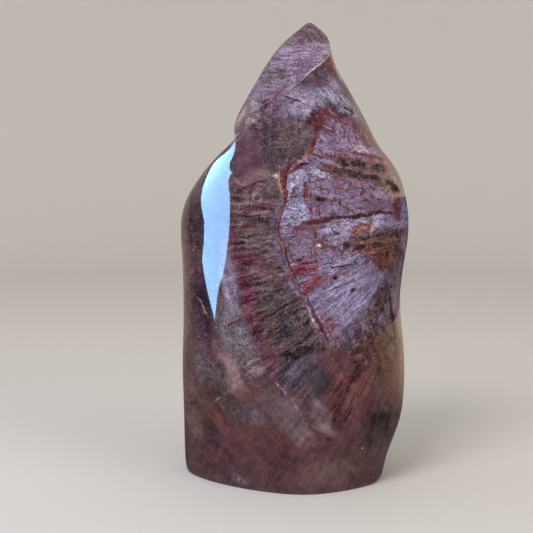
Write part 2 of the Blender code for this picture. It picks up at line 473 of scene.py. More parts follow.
def rise(value, low, high):
    """A smooth rise from 0 at the low value to 1 at the high one."""
    return beside((value, low, high), "MapRange", interpolation_type="SMOOTHSTEP")


def between(value, low, high, lowest=NOISE_LOW, highest=NOISE_HIGH):
    """A value that runs from lowest to highest, as most noise does, stretched to run from low to high."""
    return beside((value, lowest, highest, low, high), "MapRange")


def mixed(share, below, above):
    """The colour above laid over the colour below by a share."""
    return beside((share, below, above), "Mix", data_type="RGBA")


def joined(across, deep, up):
    return beside((across, deep, up), "CombineXYZ")


# Colours as the eye names them, each from its dark to its light in display values of 0 to 255,
# with the figure that plays between the two
TONES = {
    "maroon": ((80, 53, 60), (102, 75, 80), "smooth"),
    "deep maroon": ((68, 42, 50), (90, 60, 66), "smooth"),
    "rust brown": ((80, 48, 46), (110, 72, 66), "mottled"),
    "dusty maroon": ((76, 46, 60), (92, 66, 82), "smooth"),
    "blackish": ((40, 33, 38), (82, 70, 76), "mottled"),
    "black": ((26, 22, 26), (58, 48, 54), "mottled"),
    "olive grain": ((42, 30, 36), (126, 102, 111), "rayed"),
    "dark grain": ((26, 20, 24), (108, 92, 94), "rayed"),
    "olive speckle": ((44, 34, 42), (98, 80, 92), "mottled"),
    "grey olive": ((66, 54, 58), (106, 90, 96), "mottled"),
    "magenta grain": ((58, 20, 38), (110, 70, 89), "rayed"),
    "magenta": ((74, 24, 42), (112, 58, 78), "rayed"),
    "rim lavender": ((76, 60, 78), (124, 110, 132), "mottled"),
    "lavender grain": ((92, 81, 112), (154, 146, 182), "grained"),
    "pale lavender": ((124, 112, 144), (188, 182, 218), "mottled"),
    "ice lavender": ((116, 112, 144), (170, 172, 206), "mottled"),
    "mauve block": ((106, 84, 110), (148, 126, 156), "mottled"),
    "mottled lavender": ((104, 88, 114), (164, 154, 184), "mottled"),
    "purple speckle": ((60, 34, 50), (114, 90, 114), "mottled"),
    "brick red": ((60, 22, 32), (98, 46, 54), "mottled"),
    "vein red": ((62, 20, 26), (118, 42, 44), "mottled"),
    "deep red": ((88, 20, 28), (144, 92, 110), "grained"),
    "dark crack": ((56, 28, 34), (92, 54, 58), "mottled"),
    "red mauve": ((92, 44, 56), (142, 106, 126), "grained"),
    "orange": ((132, 72, 50), (172, 108, 76), "mottled"),
    "orange wedge": ((112, 64, 54), (172, 118, 104), "mottled"),
    "gold": ((124, 80, 38), (184, 134, 66), "mottled"),
    "tangle": ((54, 28, 28), (124, 82, 74), "mottled"),
    "pit brown": ((62, 36, 34), (126, 92, 94), "grained"),
    "pinkish": ((110, 86, 92), (142, 116, 122), "smooth"),
    "tan": ((126, 92, 92), (164, 130, 122), "mottled"),
    "beige pink": ((132, 106, 114), (182, 166, 168), "smooth"),
    "tip mauve": ((100, 80, 104), (154, 138, 166), "level"),
    "tip cap": ((64, 46, 54), (120, 100, 112), "mottled"),
    "grey green": ((84, 76, 82), (124, 114, 122), "level"),
    "fan": ((56, 42, 54), (164, 156, 186), "grained"),
    "teal": ((92, 98, 116), (148, 160, 178), "mottled"),
    "white": ((160, 140, 156), (216, 206, 216), "mottled"),
    "grey tan": ((78, 70, 76), (132, 124, 136), "mottled"),
    "slate grain": ((32, 30, 40), (104, 94, 110), "rayed"),
    "slate": ((46, 42, 48), (78, 70, 80), "smooth"),
    "fibrous red": ((54, 28, 34), (116, 76, 78), "fibrous"),
    "mauve grey": ((106, 86, 92), (134, 114, 122), "smooth"),
    "lens": ((38, 28, 32), (80, 64, 62), "fibrous"),
    "brown mottle": ((54, 34, 36), (98, 66, 62), "mottled"),
    "dark grey": ((60, 52, 54), (98, 86, 90), "mottled"),
    "flank": ((48, 36, 44), (82, 68, 78), "smooth"),
    "plum": ((42, 26, 38), (72, 50, 66), "smooth"),
    "pink line": ((120, 92, 98), (156, 126, 130), "mottled"),
    "rim orange": ((84, 44, 36), (150, 88, 60), "mottled"),
    "pit black": ((14, 12, 14), (96, 82, 80), "mottled"),
    "warm brown": ((88, 64, 60), (122, 94, 88), "smooth"),
}

# The log that the stone was: its heart across and up in millimetres, and the ring that the vein runs on
HEART_ACROSS = 56.0
HEART_UP = 99.0
VEIN_RING = 61.3

# Borders that run up the front, as places up and across in millimetres
VEIN = (
    (52, 12.0), (55, 10.5), (59, 9.1), (64.5, 6.9), (69, 4.1), (73, 1.3), (76, -0.5), (80.5, -1.9),
    (84.5, -3.3), (88.5, -4.3), (91, -5.4), (94, -6.1), (96.5, -6.4), (100.5, -5.7), (103.5, -4.7),
    (106.5, -4.0), (110, -4.3), (114.5, -4.0), (117, -2.5), (119, 1.0), (121.5, 4.5), (124, 5.6),
    (130, 7.5),
)
BAND = (
    (0, 31.0), (9, 23.0), (20, 11.7), (26, 4.6), (34.5, -2.5), (42, -9.0), (47, -12.4), (54, -16.0),
    (62.5, -19.0), (73, -20.2), (83, -23.8), (95, -24.0), (120, -24.0),
)
# Borders that run across the front, as places across and up in millimetres
HEART_TOP = ((4, 136.0), (10, 137.5), (19, 133.8), (23.5, 129.6), (27, 124.5), (32, 119.0), (40, 106.0))
HEART_FOOT = (
    (9, 54.0), (13, 56.5), (17, 59.5), (22.3, 63.5), (27, 70.0), (32, 75.2), (38, 80.5), (44, 86.0),
)
RIDGE_LINE = (
    (-22, 125.5), (-17, 131.5), (-12.5, 136.0), (-2.5, 144.0), (2.7, 148.6), (11.4, 157.3), (16, 162.0),
)

# Marks on the front: colour, place across and up, half length, half width in millimetres, tilt in
# degrees, softness of the edge, and where they are given the figure that breaks it up and the strength
MARKS = (
    # the face above the ridge
    ("beige pink", -18, 133.5, 10, 4.6, 50, 0.5),
    ("dusty maroon", -16.8, 129, 4.2, 2.8, 50, 0.5, None, 0.8),
    ("pale lavender", -12, 140.2, 4.4, 2.3, 15, 0.6, None, 0.8),
    ("grey green", -8.5, 149.5, 5, 2.6, 52, 0.5, None, 0.8),
    ("purple speckle", -3.5, 147, 6, 1.6, 30, 0.5, "blotched", 0.8),
    ("dusty maroon", 1, 152.5, 6, 1.2, 22, 0.5, "torn", 0.6),
    ("brick red", 1.4, 161.5, 1.6, 0.5, 0, 0.5, "blotched", 0.8),
    ("orange", -3.1, 155.6, 0.7, 0.4, 10, 0.4, None, 0.8),
    # beside the ridge at the tip
    ("brick red", 12.7, 153.3, 4.8, 2.2, -62, 0.4),
    ("pale lavender", 16, 151, 5, 1.2, -64, 0.5, None, 0.8),
    ("fan", 14, 139.4, 11, 3.8, -37, 0.35),
    ("mottled lavender", 13.8, 145.2, 4.2, 2, -60, 0.6, None, 0.7),
    ("brick red", 19.8, 133, 3.6, 2, -45, 0.5, None, 0.7),
    ("purple speckle", 6, 147, 4, 2.2, -10, 0.4),
    ("brick red", 6.4, 147.4, 2.6, 0.9, -10, 0.4, "blotched"),
    ("black", 18.6, 136.8, 2.4, 0.7, -38, 0.4),
    ("blackish", 13.6, 137.4, 6.5, 1.4, -33, 0.5, None, 0.9),
    # between the tip and the heart
    ("purple speckle", -8, 137.5, 7.5, 5.5, 42, 0.5),
    ("mottled lavender", 1.5, 138.5, 7.5, 5.5, -20, 0.45),
    ("mottled lavender", 6.8, 138.4, 3.4, 2.2, -15, 0.6, None, 0.8),
    ("purple speckle", -5.7, 138.8, 3.6, 2.8, 30, 0.6, None, 0.6),
    ("grey olive", 0.5, 127.5, 5.8, 5.5, 0, 0.4),
    ("olive speckle", -9.8, 124.5, 9.5, 5, -64, 0.35),
    ("blackish", -9, 119.5, 5.5, 2.8, -60, 0.5, "blotched", 0.9),
    ("blackish", 0, 121.5, 5.6, 1.9, 12, 0.4, "blotched", 0.9),
    ("brick red", 8, 132.8, 4, 3.6, 0, 0.35),
    ("brick red", 12.5, 135.8, 5, 1.4, -16, 0.4, None, 0.9),
    ("dusty maroon", -17.4, 118.6, 11, 4.8, -76, 0.35),
    ("white", -7.4, 113.7, 1.3, 0.9, 0, 0.4, "blotched"),
    # the banded zone
    ("tan", -14.5, 105.8, 3.6, 2.2, 15, 0.6, "blotched", 0.9),
    ("pinkish", -13.6, 113, 4.2, 2.2, 10, 0.6, None, 0.6),
    ("grey olive", -9.5, 107.5, 3.5, 3, 0, 0.6, None, 0.7),
    ("magenta", -15.6, 101.8, 6.6, 0.7, 14, 0.4, None, 0.9),
    ("magenta", -16, 96.6, 4.2, 0.8, 10, 0.4, None, 0.9),
    ("magenta grain", -22.3, 89.5, 7.5, 1.8, -76, 0.5, None, 0.9),
    ("magenta", -16, 84.6, 5, 3.2, 15, 0.6, "torn", 0.9),
    ("magenta", -19.2, 74, 6.5, 2.6, -74, 0.6, "torn", 0.9),
    ("magenta grain", -16.8, 62.5, 7.5, 2.6, -66, 0.45),
    ("magenta", -16.6, 62, 6, 1.8, -66, 0.5, "torn", 0.9),
    ("dark grain", -13, 93, 5.5, 3.4, 15, 0.6, None, 0.8),
    ("dark grain", -5.2, 63.3, 10, 6, -48, 0.5),
    ("black", -8, 70.5, 6, 2.6, 24, 0.5, "blotched", 0.8),
    ("blackish", -2.2, 62.5, 5, 3.4, -55, 0.5, None, 0.9),
    ("slate grain", -0.6, 45.4, 8.6, 5.4, 36, 0.4),
    ("slate grain", 2, 38, 6, 3.6, -45, 0.6, "torn", 0.8),
    ("black", 1.5, 51.8, 6.4, 1.9, 14, 0.3),
    ("slate", 6.8, 42, 7.2, 3.6, -72, 0.5),
    # the heartwood
    ("mauve block", 17.3, 128, 8, 4.6, -30, 0.3),
    ("mauve block", 24, 119.5, 13, 4, -18, 0.5, None, 0.9),
    ("mauve block", 18, 107, 15, 5.5, -4, 0.5, None, 0.9),
    ("red mauve", 20, 112.4, 13, 2.4, -15, 0.6, "torn", 0.8),
    ("red mauve", 33, 103, 7, 3.4, -60, 0.6, "torn", 0.8),
    ("mauve block", 4, 89.5, 9, 5, 8, 0.5, None, 0.8),
    ("pale lavender", 0.1, 111.5, 4, 4.3, 0, 0.2),
    ("pale lavender", 7.8, 114.6, 4, 2.2, -8, 0.3, None, 0.9),
    ("ice lavender", 0, 99.8, 4.3, 5, 0, 0.2),
    ("mauve block", 9, 100.8, 4.6, 3.5, 4, 0.25),
    ("dark crack", 8.8, 95.8, 5.4, 1.9, 20, 0.6, None, 0.55),
    ("brick red", 10.8, 131.6, 3.8, 2.6, -20, 0.5, None, 0.7),
    ("mauve block", 25.5, 105.2, 8, 4.8, 2, 0.15),
    ("brown mottle", 11, 89.4, 4.2, 2.2, 8, 0.5, None, 0.9),
    ("tangle", 15.6, 105.8, 6, 1.9, -78, 0.5, "blotched", 0.9),
    ("tan", 16.2, 106.5, 4.6, 1.4, -80, 0.4, "blotched", 0.9),
    ("pit brown", 30, 90.2, 13, 3.4, 2, 0.4, None, 0.8),
    ("pale lavender", 29.8, 96.3, 3, 2.5, 15, 0.25, None, 0.9),
    ("brick red", 26, 119.9, 9.5, 0.8, -13, 0.4, None, 0.9),
    ("black", 7.3, 105, 3.6, 0.9, -4, 0.4, "blotched", 0.9),
    ("pale lavender", 17.5, 96.3, 9.6, 1.8, 15, 0.25, None, 0.7),
    ("orange wedge", 22.8, 95, 4.8, 1.5, 18, 0.3, None, 0.85),
    ("pale lavender", 14.4, 91.6, 4.4, 1.8, 24, 0.25, None, 0.7),
    ("mauve block", 0.6, 91, 4.4, 2.4, 10, 0.3, None, 0.9),
    ("pit brown", 29, 90.6, 12, 3.2, 3, 0.4, "torn"),
    ("pit brown", 29, 88, 11, 1.6, 1, 0.4, None, 0.9),
    ("pit brown", 24, 117.2, 13.5, 1.9, -12, 0.4, "blotched"),
    ("pit brown", 22.5, 113.4, 12.5, 1.6, -14, 0.4, "blotched"),
    ("pit brown", 36, 108.8, 5.5, 2.4, -35, 0.5, "blotched"),
    ("tangle", 33.6, 84, 7, 5.6, 10, 0.45),
    ("blackish", 35.5, 80, 5.5, 2.2, 62, 0.5, "blotched", 0.9),
    ("vein red", 37.4, 101.4, 4.3, 2, 86, 0.4, None, 0.9),
    ("vein red", 33, 107.5, 1.6, 0.8, 30, 0.4, "blotched", 0.9),
    ("deep red", 3.6, 96, 6, 1.3, 20, 0.3),
    ("deep red", 2.2, 80.6, 5.4, 2.8, 22, 0.4),
    ("deep red", 5, 75.4, 5.4, 2.3, 33, 0.35),
    ("deep red", 12, 77.2, 7, 0.9, 20, 0.4, "torn", 0.9),
    ("red mauve", 10.4, 61, 6.4, 3.2, -62, 0.5, None, 0.9),
    ("dark crack", -9.4, 79.2, 4.2, 2.2, -70, 0.6, None, 0.6),
    ("dark crack", -9.8, 61.8, 3.4, 2.4, -50, 0.6, None, 0.6),
    ("lavender grain", 16, 105.8, 3.4, 2, 10, 0.6, None, 0.6),
    ("mottled lavender", 17.4, 116.2, 3, 1.8, 10, 0.6, None, 0.7),
    ("mottled lavender", 24.8, 114.4, 2.8, 1.6, -10, 0.6, None, 0.6),
    ("dark crack", 21.5, 129.5, 8, 1.6, -48, 0.5, "torn", 0.9),
    ("white", 23.3, 122.8, 2.8, 1.2, -15, 0.6, "torn", 0.9),
    ("teal", 10.2, 123.6, 2.6, 2.4, 40, 0.5, "sprinkled", 0.9),
    ("white", 7.6, 89.3, 0.8, 0.8, 0, 0.4, None, 0.9),
    # the dark rust corner right of the heartwood
    ("mauve grey", 35.6, 62, 14, 4, 88, 0.5),
    ("blackish", 31, 67.6, 8.4, 2.7, 60, 0.45),
    ("tangle", 26, 62.5, 3.4, 2, 50, 0.5, "blotched", 0.9),
    ("brown mottle", 27.5, 48.5, 11, 8.5, 80, 0.4),
    ("tangle", 21.5, 51.5, 3.6, 2.6, 60, 0.5, "blotched", 0.8),
    ("blackish", 24.8, 47.6, 6, 1.8, -66, 0.6, "blotched", 0.9),
    # the lower right
    ("fibrous red", 19, 35.5, 11.5, 7.2, 60, 0.35),
    ("deep red", 14.3, 44, 5.5, 1.8, 66, 0.5, "torn", 0.5),
    ("lens", 30, 20.6, 9.6, 5.2, 64, 0.35),
    ("mauve grey", 8, 31.8, 3.4, 1.6, -42, 0.9, None, 0.7),
    ("mauve grey", 9.6, 25.6, 3.6, 1.8, -42, 0.9, None, 0.8),
    ("white", 23.8, 15.5, 0.38, 0.32, 0, 0.3),
    # the lower left
    ("mauve grey", -4.6, 30, 12, 5, -45, 0.6, None, 0.9),
    ("grey tan", -22.3, 57.5, 12.5, 5.4, -64, 0.5),
    ("rim lavender", -23.6, 76.5, 7, 2.2, -80, 0.6, None, 0.8),
    ("mottled lavender", -23.4, 76.5, 12, 2, -82, 0.8, None, 0.6),
    ("pale lavender", -25.6, 73, 7, 1.4, -78, 0.7, None, 0.7),
    ("pinkish", -24.9, 47, 7, 2.7, -58, 0.5),
    ("pinkish", -21.6, 37.6, 5.8, 2.9, -48, 0.6),
    # painted highlights: small white glints of light, torn into specks
    ("white", -15.4, 45.7, 3.6, 2.8, 20, 0.7, "torn", 0.5),
    ("dark grey", -30.2, 42, 6.8, 4.6, -40, 0.5),
    ("grey tan", -35.5, 43, 8, 3, 88, 0.6, None, 0.5),
    ("mauve grey", -14.5, 27.5, 5, 3, -30, 0.6, None, 0.7),
    ("dark grey", -20, 29.2, 8, 4, -20, 0.5, None, 0.9),
    ("rust brown", -28.7, 26.4, 4.2, 2.8, -30, 0.5, None, 0.9),
    ("rust brown", -18.6, 35, 3.6, 2.5, -10, 0.6, None, 0.8),
    ("rust brown", -6.2, 20.4, 6, 2.4, -35, 0.7, None, 0.7),
    ("dark grey", 12, 7.6, 9.5, 3.8, 18, 0.7, None, 0.5),
    ("mottled lavender", -20.8, 3.4, 3.4, 1.3, -12, 0.7, "blotched", 0.5),
    ("rust brown", -16.5, 20.5, 9, 3.4, -12, 0.7, "blotched", 0.8),
    ("rust brown", 22, 10.5, 7, 3, 20, 0.8, None, 0.5),
    ("deep maroon", -28, 17.5, 7, 4.5, -20, 0.7, None, 0.9),
    ("deep maroon", -6, 14, 9, 4, -10, 0.8, None, 0.7),
    ("warm brown", 12, 7.5, 10, 4, 4, 0.8, None, 0.5),
    ("rim lavender", -21.5, 6.5, 3.4, 1.8, -10, 0.7, "sprinkled", 0.8),
    # the left flank
    ("flank", -36.5, 96, 16, 3.4, 90, 0.5),
    ("plum", -35.8, 73, 9, 3, 90, 0.5),
    ("plum", -35, 62.5, 10, 3.6, 90, 0.5),
    ("warm brown", -37.5, 27, 12, 3.4, 90, 0.6, None, 0.8),
)

# Veins and cracks on the front, and a few painted highlights along edges: colour, from across and up, to
# across and up, half width in millimetres, and where it is given the figure that breaks them up
VEINS = (
    # painted highlight: these two rows are light caught along the ridge's crisp edge, white near the tip
    # and pink where it runs on
    ("white", 11.4, 157.3, 2.7, 148.6, 0.28),
    ("pink line", 2.7, 148.6, -3.5, 143.2, 0.35, "blotched"),
    ("pink line", -2.5, 143.6, -17, 140.6, 0.40),
    ("pink line", -4, 142, -19, 131, 0.35, "blotched"),
    ("brick red", -5, 142.5, 2.6, 138.6, 0.30),
    # painted highlight: these two teal rows are a thin bluish line of light across the fan below the tip
    ("teal", 4.6, 143.6, 12, 139.8, 0.35),
    ("teal", 12, 139.8, 19.5, 135.6, 0.30, "blotched"),
    ("black", 10, 138.6, 21, 132.6, 0.35, "blotched"),
    ("deep red", 9.6, 138, 16, 135, 0.55),
    ("deep red", 16, 135, 22, 131.2, 0.55),
    ("deep red", 22, 131.2, 28, 123.2, 0.50),
    ("deep red", 28, 123.2, 34, 117.6, 0.45),
    ("deep red", 17, 121.4, 36, 116.2, 0.70, "torn"),
    ("dark crack", 16, 133.2, 26.5, 123.6, 1.00, "torn"),
    ("blackish", 18, 132.6, 25, 127, 0.50, "blotched"),
    ("dark crack", 10, 128, 20, 122, 0.35, "torn"),
    ("white", 9, 132, 15, 128.5, 0.35, "blotched"),
    ("pink line", -36.3, 68.5, -33, 62.6, 0.35),
    ("vein red", 6.6, 131, 8.8, 122, 0.80, "blotched"),
    ("vein red", 5.6, 120.8, 11, 119.8, 0.70),
    ("orange", 4.5, 121.2, -1, 117.4, 0.60, "blotched"),
    ("gold", -6.4, 118, -6, 106.5, 0.35, "blotched"),
    ("gold", -5.2, 91, -3, 80.5, 0.35, "blotched"),
    ("white", -5.6, 104, -6.6, 96, 0.40, "sprinkled"),
    ("pink line", -1, 76.5, 4, 68.5, 0.35, "blotched"),
    ("pale lavender", 2, 70.5, 8.5, 58, 0.40, "blotched"),
    ("rim orange", 12, 120.6, 36, 114.8, 0.50, "blotched"),
    ("rim orange", 9.5, 117, 34, 110.2, 0.50, "blotched"),
    ("dark crack", 7, 116.6, 15, 114.6, 0.50),
    ("black", 17, 89.4, 37, 88.4, 0.50, "torn"),
    ("dark crack", 18, 91.8, 38.5, 93, 0.50, "torn"),
    ("dark crack", 23, 84.6, 36, 86, 0.50, "torn"),
    ("plum", 22.5, 104.5, 23.5, 110, 0.40, "blotched"),
    ("vein red", -2.6, 115.2, 5, 118, 0.60),
    ("vein red", 3.2, 112.8, 3.8, 102.8, 1.00, "blotched"),
    ("vein red", 5, 112, 5.6, 96.6, 0.60, "blotched"),
    ("pale lavender", 4.4, 103, 4.8, 97, 0.50, "blotched"),
    ("vein red", -2.6, 105.4, 5, 106.2, 0.50, "blotched"),
    ("dark crack", 4.6, 96.7, 15, 98.8, 0.85),
    ("dark crack", 15, 98.8, 37, 99.8, 0.70),
    ("dark crack", 8, 92.5, 26, 94.2, 0.45, "blotched"),
    ("white", 27.6, 98.6, 27.4, 92.8, 0.35),
    ("white", 3.4, 108, 5, 99, 0.60, "sprinkled"),
    ("dark crack", 6.9, 95.5, 5.4, 88, 0.60, "blotched"),
    ("vein red", 5.8, 88.5, 7, 80.5, 0.60, "blotched"),
    ("orange", 5, 91.5, 11, 90.6, 0.45, "blotched"),
    ("vein red", -2.6, 84.8, 6, 85.8, 0.45, "blotched"),
    ("dark crack", 10, 80.8, 19.2, 82, 0.35),
    ("dark crack", 12, 73.5, 22, 77, 0.35, "torn"),
    ("dark crack", -2.5, 88.6, 6, 90.2, 0.40, "blotched"),
    ("vein red", 8.2, 104.2, 8.6, 97.8, 0.40, "blotched"),
    ("white", 27, 73, 33.5, 65, 0.50, "sprinkled"),
    ("white", -9.5, 53, -2, 49.4, 1.20, "sprinkled"),
    ("grey tan", -9, 70, 5, 58, 3.00, "sprinkled"),
    ("gold", 6, 121.5, 10, 124.5, 0.40, "blotched"),
    ("white", 6.6, 122.4, 9.6, 126.4, 0.50, "sprinkled"),
    ("pale lavender", 7, 66, 12, 58, 0.35, "blotched"),
    ("tangle", 27, 88.8, 36, 82, 0.60, "blotched"),
    ("rim orange", 17, 94, 39, 94.4, 0.45, "blotched"),
    ("orange", 17, 90.2, 39, 90, 0.55, "blotched"),
    ("orange", 18, 86.6, 34, 85.6, 0.45, "blotched"),
    ("orange", 13, 119.8, 34, 114.8, 0.45, "blotched"),
    ("orange", 10.6, 116.4, 30, 110.4, 0.45, "blotched"),
    ("orange", 31, 111, 40, 104, 0.45, "blotched"),
    ("vein red", 4.6, 67.8, 10, 57.4, 0.50, "blotched"),
    ("dark crack", -23.4, 107.6, -8, 112.8, 0.35),
    ("magenta", -25, 60.3, -19, 63.5, 0.50),
    ("plum", 34.6, 73, 37.4, 46, 0.70),
    ("pink line", -29.6, 31.2, -19.2, 39.2, 0.50, "blotched"),
    ("pink line", -8.9, 42.3, -2.5, 34.6, 0.40, "torn"),
    ("pink line", -2.5, 34.6, 4.6, 25.8, 0.40, "torn"),
    ("rust brown", 4.6, 25.8, 11.7, 20, 0.50),
    ("rust brown", 11.7, 20, 23, 9, 0.45),
    ("plum", -38.4, 106, -38.6, 80, 0.60),
)

# How far behind the middle the front's own marks end, in millimetres, and how the grain leans and
# wanders more there
BACK_START = 6.0
BACK_FULL = 15.0
BACK_RAGGED = 9.0
GRAIN_BEHIND = (-0.35, 0.0, 0.45)
WANDER_BEHIND = 0.12
# How the bands wander, how their edges flutter and how the heartwood's blocks bend: the step and the
# reach in millimetres, and how fine the detail is
WANDER = (15, 3.4, 1)
FLUTTER = (2.6, 1.5, 3)
BLOCK_BEND = (6, 9, 2)

# Heights in millimetres over which the zones of the front fade, from nothing to full
ABOVE_BAND = (108, 114)
BAND_FOOT = (51, 56)
BAND_TOP = (116, 111)
DARK_BAND_TOP = (88, 68)
RIM_FOOT = (52, 57)
RIM_TOP = (113, 104)
TIP_CAP = (161.2, 162.4)
VEIN_FOOT = (54, 56)
VEIN_TOP = (130, 124)
UPPER_VEIN = (102, 108)
UPPER_HEART = (76, 86)
SEAM_FOOT = (40, 56)
GRITTY = (26, 48)
FLOWING_FOOT = (52, 34)
# Distances in millimetres over which the zones beside a border fade, from nothing to full
RIM_REACH = (3.4, 2.4)
SHADOW_REACH = (0.8, 0.4)
VEIN_REACH = (0.9, 0.45)
IN_FRONT = (13.0, 5.0)
# The magenta beside the band's border: fades at its foot, its top and to the right, what breaks it up
# and how strong it is
MAGENTA_BANDS = (
    ((38, 44), (92, 84), (10.0, 2.5), "torn", 0.9),
    ((40, 46), (86, 76), (7.5, 4.0), None, 0.8),
)
# The smooth field right of the window: its middle and half widths across and up, in millimetres
FIELD_MIDDLE = (-17.5, 118.0)
FIELD_REACH = (7.5, 11.0)
# How far the middle of a noise a line runs, and how far from a cell's edge a joint does
THREAD_WIDTH = (0.013, 0.004)
SEAM_WIDTH = (0.026, 0.008)
JOINT_WIDTH = (0.06, 0.02)
# Rims and floor of a pit, in the pit's own radii, from nothing to full
BROWN_RIM = (1.68, 1.50)
ORANGE_RIM = (1.38, 1.10)
PIT_FLOOR = (1.15, 0.95)
# A vein's ends overlap the next one's, and its edge is this soft
VEIN_OVERLAP = 1.12
VEIN_SOFTNESS = 0.4
# The roughness of the polish, how much rougher a pit is, and how strongly the stone bends light
POLISH_ROUGHNESS = 0.04
PIT_ROUGHNESS = 0.45
STONE_IOR = 1.54

# How much the darks are deepened and the lights lightened under the polish
DEEPER = 0.70
LIGHTER = 1.06
# How much the marks of one colour differ in tone
TOUCH = 0.01
# A share too small to see, which makes each mark wait for the one before it
AFTER = 1e-9


def linear(tone):
    """A display value of 0 to 255 as light."""
    share = tone / 255
    return share / 12.92 if share <= 0.04045 else ((share + 0.055) / 1.055) ** 2.4


def colour(tones, touch=1.0):
    return (*(linear(tone) * touch for tone in tones), 1)


def noisy(vector, detail, roughness=0.6):
    """Noise with one step for each unit of its coordinates."""
    return beside((vector, 1.0, detail, roughness), "TexNoise")


def figure_of(vector, steps, detail=2.0, roughness=0.5):
    """Noise with so many steps a millimetre each way, spread from 0 to 1."""
    noise_value = noisy(stretched(vector, steps), detail, roughness)
    return between(noise_value, 0.0, 1.0, FIGURE_LOW, FIGURE_HIGH)


def noise_shift(vector, step, reach, detail):
    """A wandering shift of places, with the step of its wander and its reach in millimetres."""
    finer = stretched(vector, (1 / step,) * 3)
    made = node(vector.id_data, "TexNoise", finer, 1.0, detail, 0.55)
    return stretched(back_from(made.outputs[1], (0.5,) * 3), (reach,) * 3)


def hairline(noise_value, width):
    """The thin line where a noise crosses its middle."""
    return rise(size_of(minus(noise_value, 0.5)), *width)


def border(value, places, low, high):
    """The flowing line through named places, read at a value: both in millimetres."""
    tree = value.id_data
    made = tree.nodes.new("ShaderNodeFloatCurve")
    first, last = places[0][0], places[-1][0]
    curve = made.mapping.curves[0]
    for i, (place, reach) in enumerate(places):
        spot = ((place - first) / (last - first), (reach - low) / (high - low))
        if i in (0, len(places) - 1):
            curve.points[0 if i == 0 else -1].location = spot
        else:
            curve.points.new(*spot)
    made.mapping.update()
    share = between(value, 0.0, 1.0, first, last)
    tree.links.new(share, made.inputs["Value"])
    return between(made.outputs[0], low, high, 0.0, 1.0)


def mark_group():
    """The shader group that lays one mark over a colour: an ellipse with a ragged edge."""
    group = bpy.data.node_groups.new("mark", "ShaderNodeTree")
    colours, vectors = ("Below", "Dark", "Light"), ("Place", "Centre", "Along", "Beside")
    for name in (
        "Below", "Place", "Centre", "Along", "Beside", "Inner", "Outer", "Cut", "Figure", "Dark", "Light",
    ):
        kind = "Color" if name in colours else "Vector" if name in vectors else "Float"
        group.interface.new_socket(name, in_out="INPUT", socket_type="NodeSocket" + kind)
    group.interface.new_socket("Result", in_out="OUTPUT", socket_type="NodeSocketColor")
    group.interface.new_socket("Place", in_out="OUTPUT", socket_type="NodeSocketVector")
    given = group.nodes.new("NodeGroupInput").outputs
    off = back_from(given["Place"], given["Centre"])
    along = share_along(off, given["Along"])
    aside = share_along(off, given["Beside"])
    ragged = share_along(off, (0, 1, 0))
    away = times_plus(aside, aside, times(along, along))
    away = plus(root(away), ragged)
    mask = rise(away, given["Outer"], given["Inner"])
    mask = times(mask, given["Cut"])
    figure = times_plus(mask, AFTER, given["Figure"])
    paint = mixed(figure, given["Dark"], given["Light"])
    laid = mixed(mask, given["Below"], paint)
    handed_on = scaled(given["Place"], times_plus(mask, AFTER, 1.0))
    result = group.nodes.new("NodeGroupOutput")
    group.links.new(laid, result.inputs["Result"])
    group.links.new(handed_on, result.inputs["Place"])
    return group


